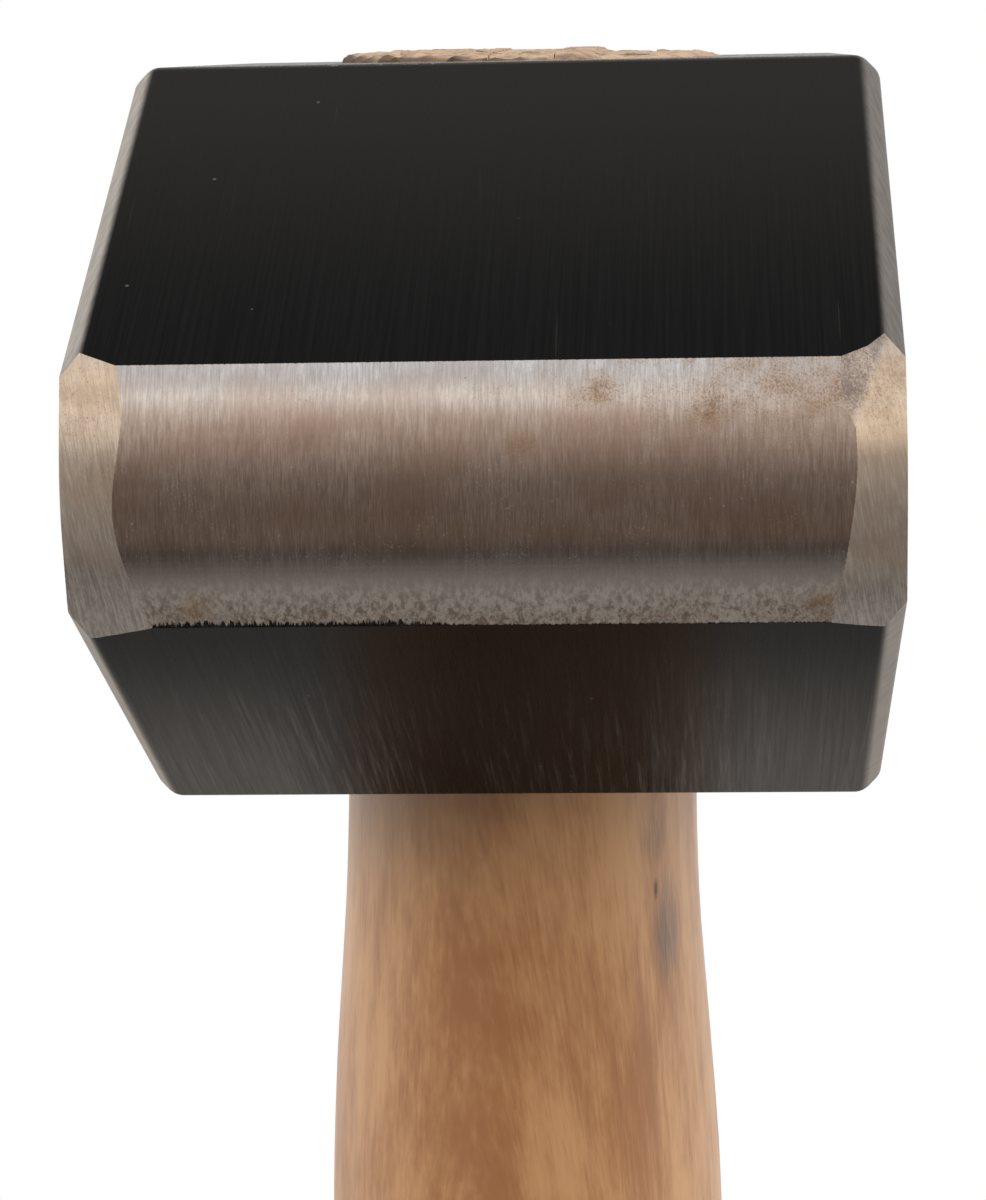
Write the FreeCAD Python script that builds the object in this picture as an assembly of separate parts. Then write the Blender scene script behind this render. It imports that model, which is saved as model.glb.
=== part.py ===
import FreeCAD, Part
import math
import os

# Lump hammer, in millimetres.
# The handle stands along Z with the middle of its butt at the origin. The head sits at the top, with
# its length along Y and its width along X. Both ends of the head are alike.

os.makedirs("parts", exist_ok=True)

V = FreeCAD.Vector

# ---- driving dimensions ----
HEAD_WIDTH = 46.0        # across the two flat cheeks, and also the head's height
HEAD_LENGTH = 110.0      # over the crowns of the two striking faces
HAMMER_LENGTH = 260.0    # from the butt to the sawn end of the handle
PROUD = 0.8              # the sawn end stands this far above the head

# ---- head ----
HALF_WIDTH = HEAD_WIDTH / 2
HALF_LENGTH = HEAD_LENGTH / 2
HEAD_TOP = HAMMER_LENGTH - PROUD
HEAD_MIDDLE = HEAD_TOP - HALF_WIDTH
HEAD_BOTTOM = HEAD_TOP - HEAD_WIDTH
FLAT_HALF_LENGTH = 0.515 * HEAD_WIDTH      # flat top and underside, from the middle to a slope
FACE_HALF_HEIGHT = 0.157 * HEAD_WIDTH      # striking face, from its middle to a slope
CROWN_RISE = 0.040 * HEAD_WIDTH            # how far a striking face bulges
LONG_BEVEL = 0.025 * HEAD_WIDTH            # narrow bevels along the cheeks
FACE_BEVEL_ACROSS = 0.070 * HEAD_WIDTH     # ground bevel beside a striking face, along X
FACE_BEVEL_DEPTH = 0.052 * HEAD_WIDTH      # the same bevel, back along the cheek
FACE_BEVEL_REACH = 1.6                     # how far the bevel runs on past the face, in face heights

# ---- ovals of the eye and the handle: middle along X, half size along X, half size along Y ----
# The eye is punched a little askew, and the handle is bowed by about a millimetre.
EYE_AT_BOTTOM = (-0.8, 0.266 * HEAD_WIDTH, 0.350 * HEAD_WIDTH)
EYE_AT_WAIST = (-0.3, 0.258 * HEAD_WIDTH, 0.340 * HEAD_WIDTH)
EYE_AT_TOP = (0.6, 0.282 * HEAD_WIDTH, 0.365 * HEAD_WIDTH)
EYE_WAIST_HEIGHT = 0.35 * HEAD_WIDTH       # above the underside of the head
EYE_RIM = 0.7                              # chamfer round the top of the eye
BUTT = (0.0, 14.6, 18.6)
GRIP_SWELL = (0.0, 14.7, 18.7)             # just above the butt
GRIP_WAIST = (-0.3, 13.3, 17.0)            # where the fingers close
BELLY = (-0.9, 14.3, 18.1)                 # thickest place between the grip and the head
SHOULDER = (-1.1, 13.9, 17.6)              # where the neck starts to thin
NECK = (-1.0, 12.5, 16.4)                  # just under the head
BUTT_ROUNDING = 4.0

# ---- wedges, measured down from the sawn end ----
WEDGES_MIDDLE = EYE_AT_TOP[0]              # along X
KERF_WIDTH = 1.2                           # saw cut that takes the wooden wedge
KERF_DEPTH = 0.72 * HEAD_WIDTH
WOODEN_WEDGE_THICKNESS = 4.4
WOODEN_WEDGE_DEPTH = 0.60 * HEAD_WIDTH
STEEL_WEDGE_THICKNESS = 2.6
STEEL_WEDGE_DEPTH = 0.42 * HEAD_WIDTH
STEEL_WEDGE_WIDTH = 0.36 * HEAD_WIDTH
STEEL_WEDGE_OFFSET = 0.17 * HEAD_WIDTH     # from the middle of the eye, along Y
WEDGE_TIP = 0.3                            # thickness left at the thin end of any wedge

LARGE = 2 * HEAD_LENGTH                    # longer than anything that it has to cut through


def crown_radius():
    """Radius of the arc that rises CROWN_RISE over the height of a striking face."""
    return (FACE_HALF_HEIGHT**2 + CROWN_RISE**2) / (2 * CROWN_RISE)


def crown_arc(x, side, half_height):
    """The arc of one striking face, or more of the same circle, in the plane at x."""
    radius = crown_radius()
    reach = math.sqrt(radius**2 - half_height**2)
    edge = side * (HALF_LENGTH - radius + reach)
    upper = V(x, edge, HEAD_MIDDLE + half_height)
    crest = V(x, side * HALF_LENGTH, HEAD_MIDDLE)
    lower = V(x, edge, HEAD_MIDDLE - half_height)
    return Part.Arc(upper, crest, lower).toShape()


def straight(start, end):
    return Part.LineSegment(start, end).toShape()


def closed_face(edges):
    return Part.Face(Part.Wire(Part.__sortEdges__(edges)))


def head_block():
    """The head's side outline, carried straight across its width."""
    x = -HALF_WIDTH
    face_edge = HALF_LENGTH - CROWN_RISE
    edges = []
    for side in (1, -1):
        upper = V(x, side * face_edge, HEAD_MIDDLE + FACE_HALF_HEIGHT)
        lower = V(x, side * face_edge, HEAD_MIDDLE - FACE_HALF_HEIGHT)
        edges.append(crown_arc(x, side, FACE_HALF_HEIGHT))
        edges.append(straight(V(x, side * FLAT_HALF_LENGTH, HEAD_TOP), upper))
        edges.append(straight(V(x, side * FLAT_HALF_LENGTH, HEAD_BOTTOM), lower))
    for z in (HEAD_TOP, HEAD_BOTTOM):
        edges.append(straight(V(x, -FLAT_HALF_LENGTH, z), V(x, FLAT_HALF_LENGTH, z)))
    return closed_face(edges).extrude(V(HEAD_WIDTH, 0, 0))


def long_edges(block):
    """The straight edges between the cheeks and the flats and slopes."""
    found = []
    for edge in block.Edges:
        on_cheek = all(abs(abs(corner.X) - HALF_WIDTH) < 1e-6 for corner in edge.Vertexes)
        if on_cheek and edge.Curve.TypeId == "Part::GeomLine":
            found.append(edge)
    return found


def face_bevel_cutter(x_side, y_side):
    """Everything outside one ground bevel, which follows the crown of its striking face."""
    x = x_side * (HALF_WIDTH - FACE_BEVEL_ACROSS)
    half_height = FACE_HALF_HEIGHT * FACE_BEVEL_REACH
    arc = crown_arc(x, y_side, half_height)
    near_top, near_bottom = arc.Vertexes[0].Point, arc.Vertexes[-1].Point
    outside = V(0, y_side * HEAD_WIDTH, 0)
    edges = [
        arc,
        straight(near_bottom, near_bottom + outside),
        straight(near_bottom + outside, near_top + outside),
        straight(near_top + outside, near_top),
    ]
    slant = V(x_side * FACE_BEVEL_ACROSS, -y_side * FACE_BEVEL_DEPTH, 0)
    return closed_face(edges).extrude(slant * 2)


def oval(sizes, z):
    """A closed oval, longer along Y."""
    middle_x, half_x, half_y = sizes
    ellipse = Part.Ellipse(V(middle_x, half_y, z), V(middle_x + half_x, 0, z), V(middle_x, 0, z))
    return Part.Wire(ellipse.toShape())


def eye_filling():
    """What fills the eye: an hourglass from the underside of the head up to the sawn end."""
    ovals = [
        oval(EYE_AT_BOTTOM, HEAD_BOTTOM),
        oval(EYE_AT_WAIST, HEAD_BOTTOM + EYE_WAIST_HEIGHT),
        oval(EYE_AT_TOP, HEAD_TOP),
        oval(EYE_AT_TOP, HAMMER_LENGTH),
    ]
    return Part.makeLoft(ovals, True, True)


def eye_rim_cutter():
    middle_x, half_x, half_y = EYE_AT_TOP
    wider = (middle_x, half_x + EYE_RIM, half_y + EYE_RIM)
    return Part.makeLoft([oval(EYE_AT_TOP, HEAD_TOP - EYE_RIM), oval(wider, HEAD_TOP)], True, True)


def make_head():
    block = head_block()
    head = block.makeChamfer(LONG_BEVEL, long_edges(block))
    for x_side in (-1, 1):
        for y_side in (-1, 1):
            head = head.cut(face_bevel_cutter(x_side, y_side))
    return head.cut(eye_filling()).cut(eye_rim_cutter())


def grip():
    """The handle below the head: a smooth run of ovals from the rounded butt to the eye."""
    ovals = [
        oval(BUTT, 0),
        oval(GRIP_SWELL, 0.10 * HEAD_BOTTOM),
        oval(GRIP_WAIST, 0.36 * HEAD_BOTTOM),
        oval(BELLY, 0.68 * HEAD_BOTTOM),
        oval(SHOULDER, 0.84 * HEAD_BOTTOM),
        oval(NECK, 0.95 * HEAD_BOTTOM),
        oval(EYE_AT_BOTTOM, HEAD_BOTTOM),
    ]
    body = Part.makeLoft(ovals, True, False)
    butt_edges = [edge for edge in body.Edges if edge.BoundBox.ZMax < 1e-6]
    return body.makeFillet(BUTT_ROUNDING, butt_edges)


def wedge(thickness, depth, width, along_y):
    """A wedge driven down from the sawn end, its thin end WEDGE_TIP thick."""
    top, tip = HAMMER_LENGTH, HAMMER_LENGTH - depth
    outline = [(-thickness / 2, top), (thickness / 2, top), (WEDGE_TIP / 2, tip), (-WEDGE_TIP / 2, tip)]
    if along_y:
        points = [V(across, -width / 2, z) for across, z in outline]
        direction = V(0, width, 0)
    else:
        points = [V(-width / 2, across, z) for across, z in outline]
        direction = V(width, 0, 0)
    driven = Part.Face(Part.makePolygon(points + points[:1])).extrude(direction)
    driven.translate(V(WEDGES_MIDDLE, 0, 0))
    return driven


def kerf():
    corner = V(WEDGES_MIDDLE - KERF_WIDTH / 2, -LARGE / 2, HAMMER_LENGTH - KERF_DEPTH)
    return Part.makeBox(KERF_WIDTH, LARGE, KERF_DEPTH, corner)


def make_steel_wedges():
    wedges = {}
    for name, side in (("steel_wedge_front", -1), ("steel_wedge_back", 1)):
        driven = wedge(STEEL_WEDGE_THICKNESS, STEEL_WEDGE_DEPTH, STEEL_WEDGE_WIDTH, along_y=False)
        driven.translate(V(0, side * STEEL_WEDGE_OFFSET, 0))
        wedges[name] = driven
    return wedges


def make_wooden_parts(steel_wedges):
    """The handle and its wooden wedge, each parted where the wedges are driven in."""
    long_wedge = wedge(WOODEN_WEDGE_THICKNESS, WOODEN_WEDGE_DEPTH, LARGE, along_y=True)
    handle = grip().fuse(eye_filling()).cut(kerf()).cut(long_wedge)
    wooden_wedge = eye_filling().common(long_wedge)
    for steel in steel_wedges:
        handle = handle.cut(steel)
        wooden_wedge = wooden_wedge.cut(steel)
    return handle, wooden_wedge


parts = {"head": make_head()}
parts.update(make_steel_wedges())
steel = [parts["steel_wedge_front"], parts["steel_wedge_back"]]
parts["handle"], parts["wooden_wedge"] = make_wooden_parts(steel)

for name, shape in parts.items():
    solids = shape.Solids
    if len(solids) != 1 or not solids[0].isValid():
        raise RuntimeError(f"{name} isn't one valid solid")
    solids[0].exportStep(f"parts/{name}.step")
    box = solids[0].BoundBox
    print(f"{name}: {solids[0].Volume / 1000:.2f} cm3, z {box.ZMin:.2f} to {box.ZMax:.2f}")
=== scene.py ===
import math

import bmesh
import bpy
from mathutils import Euler, Matrix, Vector, noise


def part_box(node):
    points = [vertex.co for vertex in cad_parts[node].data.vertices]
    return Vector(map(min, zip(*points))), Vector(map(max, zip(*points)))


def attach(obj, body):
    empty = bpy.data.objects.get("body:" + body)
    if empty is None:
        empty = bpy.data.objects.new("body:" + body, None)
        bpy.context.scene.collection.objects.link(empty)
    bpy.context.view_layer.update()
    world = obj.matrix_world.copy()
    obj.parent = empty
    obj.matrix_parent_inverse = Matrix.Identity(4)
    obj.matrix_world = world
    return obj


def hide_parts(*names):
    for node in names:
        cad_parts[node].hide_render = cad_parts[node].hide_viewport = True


# The looks of a lump hammer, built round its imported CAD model.
# Shapes are worked out in millimetres from the model's own boxes, and turned into metres at the end.

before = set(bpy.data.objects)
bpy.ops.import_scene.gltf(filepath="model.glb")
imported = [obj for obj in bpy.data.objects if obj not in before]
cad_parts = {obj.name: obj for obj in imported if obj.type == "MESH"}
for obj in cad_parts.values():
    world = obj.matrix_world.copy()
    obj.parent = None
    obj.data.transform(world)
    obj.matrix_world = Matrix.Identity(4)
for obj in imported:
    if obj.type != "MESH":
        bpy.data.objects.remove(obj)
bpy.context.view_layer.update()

MM = 0.001


def node_box(node):
    """Lowest and highest corner of a CAD node, in millimetres."""
    low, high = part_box(node)
    return low / MM, high / MM


# ---- sizes, in millimetres ----
head_low, head_high = node_box("head")
_, handle_high = node_box("handle")
HEAD_WIDTH = head_high.x - head_low.x
HALF_WIDTH = HEAD_WIDTH / 2
HALF_LENGTH = (head_high.y - head_low.y) / 2
HEAD_TOP = head_high.z
HEAD_BOTTOM = head_low.z
HEAD_MIDDLE = (HEAD_TOP + HEAD_BOTTOM) / 2
SAWN_END = handle_high.z

FLAT_HALF_LENGTH = 0.515 * HEAD_WIDTH      # flat top and underside, from the middle to a slope
FACE_HALF_HEIGHT = 0.157 * HEAD_WIDTH      # striking face, from its middle to a slope
CROWN_RISE = 0.040 * HEAD_WIDTH            # how far a striking face bulges
CROWN_RADIUS = (FACE_HALF_HEIGHT**2 + CROWN_RISE**2) / (2 * CROWN_RISE)
CROWN_STEPS = 44                           # straight pieces that each crown's arc is made of
CROWN_HALF_ANGLE = math.asin(FACE_HALF_HEIGHT / CROWN_RADIUS)
CROWN_STEP = 2 * CROWN_HALF_ANGLE / CROWN_STEPS
LONG_BEVEL = 0.025 * HEAD_WIDTH            # narrow bevels along the cheeks
EDGE_ROUNDING = 0.22                       # of the lacquered edges
SOFT_ROUNDING = 0.45                       # of the edges of the long bevels, under their lacquer

# Each corner of a striking face is ground by hand, to a surface that follows the crown. From the
# bottom up: height, how far across it meets the crown, and how many degrees it turns to the cheek.
GROUND_CORNERS = {
    ("left", "front"): (
        (-10, 17.4, 12), (-6.9, 18.3, 17), (-3.4, 19.45, 27), (-0.4, 19.85, 29), (4.9, 19.25, 25),
        (7.2, 19.70, 22), (10, 20.4, 21),
    ),
    ("right", "front"): (
        (-10, 18.4, 4), (-6.7, 19.05, 11), (-3.4, 19.7, 24), (1.3, 20.25, 30), (5.0, 20.1, 34),
        (10, 20.1, 38),
    ),
    ("left", "back"): ((-10, 18.6, 14), (-6.8, 19.3, 20), (0.0, 20.0, 32), (6.8, 19.4, 28), (10, 19.8, 24)),
    ("right", "back"): ((-10, 18.2, 14), (-6.8, 19.0, 20), (-1.0, 19.8, 33), (4.0, 19.5, 30), (10, 20.4, 24)),
}
# One corner was ground flat near its top as well, over steel that was pitted already.
PITTED_CORNER = ("right", "front")
PITTED_FLAT = (6.4, 19.4, 22)              # height, distance across, degrees of turn to the cheek
GRIND_ROWS = 32                            # rows of a corner's grinding, above and below its middle
LACQUER, FACE_STEEL, CORNER_STEEL = 0, 1, 2                # the head's materials, in order

# Ovals of the eye and the handle: height, middle across, half size across, half size along the head.
EYE_BOTTOM = (HEAD_BOTTOM, -0.8, 0.266 * HEAD_WIDTH, 0.350 * HEAD_WIDTH)
EYE_WAIST = (HEAD_BOTTOM + 0.35 * HEAD_WIDTH, -0.3, 0.258 * HEAD_WIDTH, 0.340 * HEAD_WIDTH)
EYE_TOP = (HEAD_TOP, 0.6, 0.282 * HEAD_WIDTH, 0.365 * HEAD_WIDTH)
EYE_RIM = 0.7                              # chamfer round the top of the eye
GRIP_OVALS = (
    (0.0, 0.0, 14.6, 18.6),
    (0.10 * HEAD_BOTTOM, 0.0, 14.7, 18.7),
    (0.36 * HEAD_BOTTOM, -0.3, 13.3, 17.0),
    (0.68 * HEAD_BOTTOM, -0.9, 14.3, 18.1),
    (0.84 * HEAD_BOTTOM, -1.1, 13.9, 17.6),
    (0.95 * HEAD_BOTTOM, -1.0, 12.5, 16.4),
    EYE_BOTTOM,
    EYE_WAIST,
    EYE_TOP,
)
BUTT_ROUNDING = 4.0
ROUND_STEPS = 144                          # points round the handle
INWARD_STEPS = 34                          # rings from the rim of an end to its middle
STEP_IN_CUT = 5.0                          # the saw came out lower beyond this distance across
STEP_DROP = 0.32                           # by this much

WEDGE_TIP = 0.3                            # thickness of a wedge's thin end
STEEL_WEDGES = ("steel_wedge_front", "steel_wedge_back")


# ---- mesh helpers ----


def new_piece(bm, name, *materials):
    """Turns a mesh under construction into an object."""
    mesh = bpy.data.meshes.new(name)
    bm.to_mesh(mesh)
    bm.free()
    piece = bpy.data.objects.new(name, mesh)
    bpy.context.scene.collection.objects.link(piece)
    for material in materials:
        mesh.materials.append(material)
    return piece


def modify(piece, kind, **settings):
    """Adds a modifier and applies it at once."""
    modifier = piece.modifiers.new(kind.lower(), kind)
    for name, value in settings.items():
        setattr(modifier, name, value)
    depsgraph = bpy.context.evaluated_depsgraph_get()
    mesh = bpy.data.meshes.new_from_object(piece.evaluated_get(depsgraph))
    piece.modifiers.clear()
    piece.data = mesh


def combine(piece, tool, operation):
    """Cuts a piece with a tool, or keeps what both hold, and removes the tool."""
    modify(piece, "BOOLEAN", object=tool, operation=operation, solver="EXACT", material_mode="TRANSFER")
    bpy.data.objects.remove(tool)


def finish_piece(piece, name, slot, *nodes):
    """Turns a piece into metres, and ties it to the CAD frame."""
    piece.name = name
    piece.data.name = name
    piece.data.transform(Matrix.Scale(MM, 4))
    for polygon in piece.data.polygons:
        polygon.use_smooth = True
    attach(piece, "root")
    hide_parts(*nodes)
    return piece


# ---- head ----


def head_outline():
    """The head's side outline, once round, as points along and up."""
    points = []
    for side in (-1, 1):
        for step in range(CROWN_STEPS + 1):
            angle = side * (step * CROWN_STEP - CROWN_HALF_ANGLE)
            along = HALF_LENGTH - CROWN_RADIUS + CROWN_RADIUS * math.cos(angle)
            points.append((side * along, HEAD_MIDDLE + CROWN_RADIUS * math.sin(angle)))
        level = HEAD_BOTTOM if side < 0 else HEAD_TOP
        points.append((side * FLAT_HALF_LENGTH, level))
        points.append((-side * FLAT_HALF_LENGTH, level))
    return points


def head_block():
    """The outline carried straight across the head's width."""
    bm = bmesh.new()
    outline = head_outline()
    left = [bm.verts.new((-HALF_WIDTH, along, up)) for along, up in outline]
    right = [bm.verts.new((HALF_WIDTH, along, up)) for along, up in outline]
    bm.faces.new(left)
    bm.faces.new(reversed(right))
    for index in range(len(outline)):
        after = (index + 1) % len(outline)
        face = bm.faces.new((left[after], left[index], right[index], right[after]))
        middle = face.calc_center_median()
        if abs(middle.z - HEAD_MIDDLE) < FACE_HALF_HEIGHT:
            face.material_index = FACE_STEEL
    bmesh.ops.recalc_face_normals(bm, faces=bm.faces)
    return bm


def slice_off(bm, point, normal, material):
    """Cuts away everything beyond a plane, and closes the cut."""
    everything = bm.verts[:] + bm.edges[:] + bm.faces[:]
    cut = bmesh.ops.bisect_plane(
        bm, geom=everything, dist=1e-4, plane_co=point, plane_no=normal, clear_outer=True
    )
    rim = [item for item in cut["geom_cut"] if isinstance(item, bmesh.types.BMEdge)]
    filled = bmesh.ops.holes_fill(bm, edges=rim)
    for face in filled["faces"]:
        face.material_index = material


def bevel_long_edges(bm):
    """The narrow bevels between the cheeks and the flats and slopes."""
    face_edge = HALF_LENGTH - CROWN_RISE
    rise = HALF_WIDTH - FACE_HALF_HEIGHT
    run = face_edge - FLAT_HALF_LENGTH
    for side in (-1, 1):
        for up in (-1, 1):
            for along in (-1, 0, 1):
                outward = Vector((0, along * rise, up * (run if along else 1))).normalized()
                start = Vector((side * (HALF_WIDTH - LONG_BEVEL), along * FLAT_HALF_LENGTH, 0))
                start.z = HEAD_MIDDLE + up * HALF_WIDTH
                slice_off(bm, start, outward + Vector((side, 0, 0)), LACQUER)


def curve_through(points, where):
    """A smooth curve through points, each with its place first: what it gives at one place."""
    index = 0
    while index < len(points) - 2 and where > points[index + 1][0]:
        index += 1

    def slope(place, item):
        before = points[max(place - 1, 0)]
        after = points[min(place + 1, len(points) - 1)]
        return (after[item] - before[item]) / (after[0] - before[0])

    start, end = points[index], points[index + 1]
    gap = end[0] - start[0]
    share = (where - start[0]) / gap
    values = [where]
    for item in range(1, len(start)):
        value = (2 * share**3 - 3 * share**2 + 1) * start[item]
        value += (share**3 - 2 * share**2 + share) * gap * slope(index, item)
        value += (3 * share**2 - 2 * share**3) * end[item]
        value += (share**3 - share**2) * gap * slope(index + 1, item)
        values.append(value)
    return tuple(values)


def crown_point(height):
    """How far along the crown is at a height, and the angle at which it faces up there."""
    lean = math.asin(height / CROWN_RADIUS)
    return HALF_LENGTH - CROWN_RADIUS + CROWN_RADIUS * math.cos(lean), lean


def grind_flat(bm, side, end, height, across, turn):
    """Grinds one flat over a corner of a striking face."""
    along, lean = crown_point(height)
    angle = math.radians(turn)
    facing = Vector((0, end * math.cos(lean), math.sin(lean))) * math.cos(angle)
    facing.x = side * math.sin(angle)
    slice_off(bm, Vector((side * across, end * along, HEAD_MIDDLE + height)), facing, CORNER_STEEL)


def corner_tool(side, end, line):
    """Everything outside one ground corner: its inner side follows the crown."""
    inner_reach, outer_reach = 2, 8        # how far the cut runs on, past where it meets the crown
    ahead = Vector((0, HEAD_WIDTH / 2))
    bm = bmesh.new()
    loops = []
    for row in range(-GRIND_ROWS, GRIND_ROWS + 1):
        height = CROWN_RADIUS * math.sin(row * CROWN_STEP)
        _, across, turn = curve_through(line, height)
        along, _ = crown_point(height)
        meeting = Vector((across, along))
        outward = Vector((math.cos(math.radians(turn)), -math.sin(math.radians(turn))))
        near = meeting - inner_reach * outward
        far = meeting + outer_reach * outward
        corners = (near, far, far + ahead, near + ahead)
        loops.append([bm.verts.new((side * c.x, end * c.y, HEAD_MIDDLE + height)) for c in corners])
    join_loops(bm, loops)
    bm.faces.new(loops[0])
    bm.faces.new(loops[-1])
    bmesh.ops.recalc_face_normals(bm, faces=bm.faces)
    return bm


def eye_tool():
    """What is cut out of the head: the hourglass eye, with its rim opened out at the top."""
    clear = 1.0
    rings = [(EYE_BOTTOM[0] - clear, *EYE_BOTTOM[1:]), EYE_BOTTOM]
    steps = 12
    for step in range(1, steps):
        rings.append(oval_at(HEAD_BOTTOM + (HEAD_TOP - EYE_RIM - HEAD_BOTTOM) * step / steps))
    for height, wider in ((HEAD_TOP - EYE_RIM, 0), (HEAD_TOP + clear, EYE_RIM + clear)):
        rings.append((height, EYE_TOP[1], EYE_TOP[2] + wider, EYE_TOP[3] + wider))
    bm = bmesh.new()
    loops = [ring_of_verts(bm, *ring) for ring in rings]
    join_loops(bm, loops)
    bm.faces.new(reversed(loops[0]))
    bm.faces.new(loops[-1])
    return bm


def weigh_edges(head):
    """Marks every lacquered edge to be rounded: the long bevels' own edges are softer than the rest.
    The edges of ground steel stay crisp."""
    too_close = 0.002
    smooth_below, round_above = 4, 8       # degrees between two faces
    bm = bmesh.new()
    bm.from_mesh(head.data)
    bmesh.ops.remove_doubles(bm, verts=bm.verts, dist=too_close)
    bmesh.ops.dissolve_degenerate(bm, edges=bm.edges, dist=too_close)
    weight = bm.edges.layers.float.new("bevel_weight_edge")
    beside_cheek = HALF_WIDTH - LONG_BEVEL - 0.01
    for edge in bm.edges:
        angle = math.degrees(edge.calc_face_angle(0))
        lacquered = all(face.material_index == LACQUER for face in edge.link_faces)
        if not lacquered:
            edge.smooth = angle < smooth_below
        elif angle > round_above:
            soft = all(abs(vert.co.x) > beside_cheek for vert in edge.verts)
            edge[weight] = 1.0 if soft else EDGE_ROUNDING / SOFT_ROUNDING
    bm.to_mesh(head.data)
    bm.free()


def make_head():
    lacquer = lacquer_material()
    face_steel = ground_steel_material("striking_face_steel", is_face=True)
    corner_steel = ground_steel_material("corner_steel", is_face=False)
    bm = head_block()
    bevel_long_edges(bm)
    tools = [new_piece(eye_tool(), "eye_tool", lacquer)]
    for side, side_name in ((-1, "left"), (1, "right")):
        for end, end_name in ((-1, "front"), (1, "back")):
            corner = (side_name, end_name)
            if corner == PITTED_CORNER:
                grind_flat(bm, side, end, *PITTED_FLAT)
            tool = corner_tool(side, end, GROUND_CORNERS[corner])
            tools.append(new_piece(tool, "corner_tool", corner_steel))
    head = new_piece(bm, "lump_head", lacquer, face_steel, corner_steel)
    for tool in tools:
        combine(head, tool, "DIFFERENCE")
    weigh_edges(head)
    modify(head, "BEVEL", width=SOFT_ROUNDING, segments=4, limit_method="WEIGHT", use_clamp_overlap=False)
    finish_piece(head, "lump_head", "lacquered_steel", "head")
    modify(head, "WEIGHTED_NORMAL", mode="FACE_AREA", weight=70, keep_sharp=True)
    return head


# ---- handle ----


def oval_at(height):
    """The handle's oval at a height: a smooth curve through the ovals that are given."""
    return curve_through(GRIP_OVALS, height)


def ring_of_verts(bm, height, middle, half_x, half_y):
    """Points round one oval."""
    loop = []
    for step in range(ROUND_STEPS):
        angle = 2 * math.pi * step / ROUND_STEPS
        loop.append(bm.verts.new((middle + half_x * math.cos(angle), half_y * math.sin(angle), height)))
    return loop


def join_loops(bm, loops):
    """Faces between each ring of points and the next."""
    for lower, upper in zip(loops, loops[1:]):
        for index in range(len(lower)):
            after = (index + 1) % len(lower)
            bm.faces.new((lower[index], lower[after], upper[after], upper[index]))


def end_disc(bm, rim, middle, height_at, upwards):
    """Closes the handle's end with rings that shrink to a point, lifted by height_at."""
    loops = [rim]
    for step in range(1, INWARD_STEPS):
        share = 1 - step / INWARD_STEPS
        loop = []
        for vert in rim:
            x = middle + (vert.co.x - middle) * share
            y = vert.co.y * share
            loop.append(bm.verts.new((x, y, height_at(x, y))))
        loops.append(loop)
    if not upwards:
        loops.reverse()
    join_loops(bm, loops)
    inner = loops[-1] if upwards else loops[0]
    centre = bm.verts.new((middle, 0, height_at(middle, 0)))
    for index in range(ROUND_STEPS):
        after = (index + 1) % ROUND_STEPS
        first, second = (inner[index], inner[after]) if upwards else (inner[after], inner[index])
        bm.faces.new((first, second, centre))


def sawn_height(x, y):
    """The rough sawn end: torn fibres, saw ridges, a broken rim and a step where the cut gave way."""
    torn = noise.fractal(Vector((x * 0.55, y * 0.55, 3.0)), 0.7, 2.1, 5)
    fibres = noise.noise(Vector((x * 2.4, y * 2.4, 9.0)))
    ridges = math.sin(5.2 * (y + 0.25 * x) + 2.0 * torn)
    edge = STEP_IN_CUT + 0.8 * noise.noise(Vector((y * 0.4, 1.0, 5.0)))
    drop = STEP_DROP / (1 + math.exp(-(x - edge) / 0.12))
    reach = math.hypot((x - EYE_TOP[1]) / EYE_TOP[2], y / EYE_TOP[3])
    broken = 0.5 + 0.9 * noise.noise(Vector((x * 0.9, y * 0.9, 21.0)))
    rim = max(0.0, (reach - 0.80) / 0.20) ** 1.5 * max(0.15, broken) * 0.75
    slope = 0.012 * max(0.0, 9.0 - y)
    depth = 0.06 + 0.16 * torn + 0.08 * fibres + 0.03 * ridges + drop + rim + slope
    return SAWN_END - max(depth, 0.0)


def butt_height(x, y):
    """The butt: almost flat, very slightly hollow in the middle."""
    _, _, half_x, half_y = GRIP_OVALS[0]
    reach = (x / half_x) ** 2 + (y / half_y) ** 2
    hollow = max(0.0, 0.55 - reach)
    return hollow * (0.22 + 0.10 * noise.noise(Vector((x * 0.6, y * 0.6, 1.0))))


def handle_body():
    """The whole handle as one closed solid, before its end is split by the wedges."""
    bm = bmesh.new()
    loops = []
    turns = 10
    for turn in range(turns):
        angle = math.radians(90) * turn / turns
        height = BUTT_ROUNDING * (1 - math.cos(angle))
        inset = BUTT_ROUNDING * (1 - math.sin(angle))
        _, middle, half_x, half_y = oval_at(height)
        loops.append(ring_of_verts(bm, height, middle, half_x - inset, half_y - inset))
    steps = 110
    for step in range(steps + 1):
        height = BUTT_ROUNDING + (HEAD_TOP - BUTT_ROUNDING) * step / steps
        loops.append(ring_of_verts(bm, *oval_at(height)))
    for loop in loops:
        for vert in loop:
            settle_wood(vert)
    join_loops(bm, loops)
    rim = []
    for vert in loops[-1]:
        x, y = vert.co.x * 0.995, vert.co.y * 0.995
        rim.append(bm.verts.new((x, y, sawn_height(x, y) - 0.08)))
    join_loops(bm, [loops[-1], rim])
    end_disc(bm, rim, EYE_TOP[1], sawn_height, upwards=True)
    end_disc(bm, loops[0], 0.0, butt_height, upwards=False)
    bmesh.ops.recalc_face_normals(bm, faces=bm.faces)
    return bm


def settle_wood(vert):
    """Shaving and sanding leave the handle's side very slightly uneven, and never any fatter."""
    place = vert.co
    if place.z > HEAD_BOTTOM:
        inward = 0.04
    else:
        lumps = noise.fractal(Vector((place.x * 0.05, place.y * 0.05, place.z * 0.022)), 0.6, 2.0, 4)
        inward = 0.10 + 0.16 * lumps
    across = Vector((place.x, place.y, 0))
    vert.co -= across.normalized() * max(inward, 0.0)


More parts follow.
